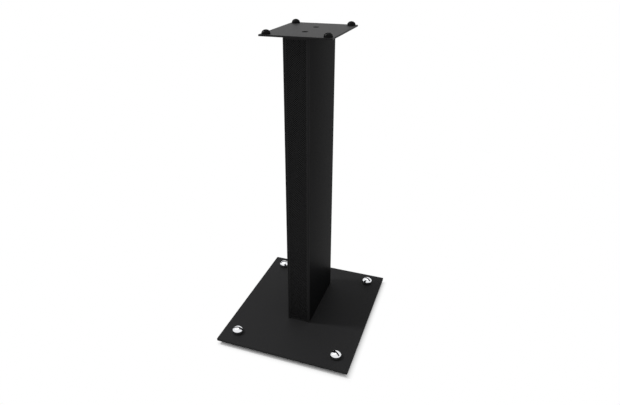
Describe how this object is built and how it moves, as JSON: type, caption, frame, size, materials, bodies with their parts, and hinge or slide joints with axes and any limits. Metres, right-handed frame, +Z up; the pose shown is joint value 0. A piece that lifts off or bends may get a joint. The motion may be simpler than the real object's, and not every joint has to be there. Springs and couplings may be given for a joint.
{
  "type": "speaker stand",
  "caption": "Steel loudspeaker stand: perforated-front column set back on a spiked base plate, with rubber domes on a thin top plate.",
  "frame": {"origin": "on the floor, under the middle of the base plate, where the spike tips stand", "axes": "+Z up; the column's perforated front faces -Y; +X is to the right when facing that front"},
  "size_m": [0.278, 0.325, 0.6182],
  "materials": {
    "powder_coat": "satin black powder coat, finely textured",
    "powder_coat_sheet": "satin black powder coat on thin perforated sheet",
    "inner_steel": "black coat over welded inner plates",
    "zinc_steel": "bright zinc plate",
    "black_oxide": "black oxide screws",
    "chrome": "polished chrome plate",
    "black_rubber": "gloss black rubber"
  },
  "bodies": {
    "frame": {"base_plate": "powder_coat", "column_shell": "powder_coat", "front_grille": "powder_coat_sheet", "top_plate": "powder_coat", "top_end_plate": "inner_steel", "foot_end_plate": "inner_steel", "top_weld_nuts": "zinc_steel", "foot_weld_nuts": "zinc_steel", "top_screws": "black_oxide", "foot_screws": "black_oxide", "pad_front_left": "black_rubber", "pad_front_right": "black_rubber", "pad_rear_left": "black_rubber", "pad_rear_right": "black_rubber", "bush_front_left": "zinc_steel", "bush_front_right": "zinc_steel", "bush_rear_left": "zinc_steel", "bush_rear_right": "zinc_steel"},
    "spike_front_left": {"spike_front_left": "zinc_steel"},
    "head_front_left": {"head_front_left": "chrome"},
    "spike_front_right": {"spike_front_right": "zinc_steel"},
    "head_front_right": {"head_front_right": "chrome"},
    "spike_rear_left": {"spike_rear_left": "zinc_steel"},
    "head_rear_left": {"head_rear_left": "chrome"},
    "spike_rear_right": {"spike_rear_right": "zinc_steel"},
    "head_rear_right": {"head_rear_right": "chrome"}
  },
  "joints": [
    {"name": "front_left_lift", "type": "slide", "parent": "frame", "child": "spike_front_left", "axis": [0, 0, 1], "range_m": [-0.0025, 0.006]},
    {"name": "front_left_turn", "type": "hinge", "parent": "spike_front_left", "child": "head_front_left", "pos_m": [-0.1065, -0.13, 0.017], "axis": [0, 0, 1], "range_deg": [-720, 1728]},
    {"name": "front_right_lift", "type": "slide", "parent": "frame", "child": "spike_front_right", "axis": [0, 0, 1], "range_m": [-0.0025, 0.006]},
    {"name": "front_right_turn", "type": "hinge", "parent": "spike_front_right", "child": "head_front_right", "pos_m": [0.1065, -0.13, 0.017], "axis": [0, 0, 1], "range_deg": [-720, 1728]},
    {"name": "rear_left_lift", "type": "slide", "parent": "frame", "child": "spike_rear_left", "axis": [0, 0, 1], "range_m": [-0.0025, 0.006]},
    {"name": "rear_left_turn", "type": "hinge", "parent": "spike_rear_left", "child": "head_rear_left", "pos_m": [-0.1065, 0.13, 0.017], "axis": [0, 0, 1], "range_deg": [-720, 1728]},
    {"name": "rear_right_lift", "type": "slide", "parent": "frame", "child": "spike_rear_right", "axis": [0, 0, 1], "range_m": [-0.0025, 0.006]},
    {"name": "rear_right_turn", "type": "hinge", "parent": "spike_rear_right", "child": "head_rear_right", "pos_m": [0.1065, 0.13, 0.017], "axis": [0, 0, 1], "range_deg": [-720, 1728]}
  ],
  "couplings": [
    {"joint": "front_left_lift", "follows": "front_left_turn", "m_per_rad": 0.00019894},
    {"joint": "front_right_lift", "follows": "front_right_turn", "m_per_rad": 0.00019894},
    {"joint": "rear_left_lift", "follows": "rear_left_turn", "m_per_rad": 0.00019894},
    {"joint": "rear_right_lift", "follows": "rear_right_turn", "m_per_rad": 0.00019894}
  ]
}
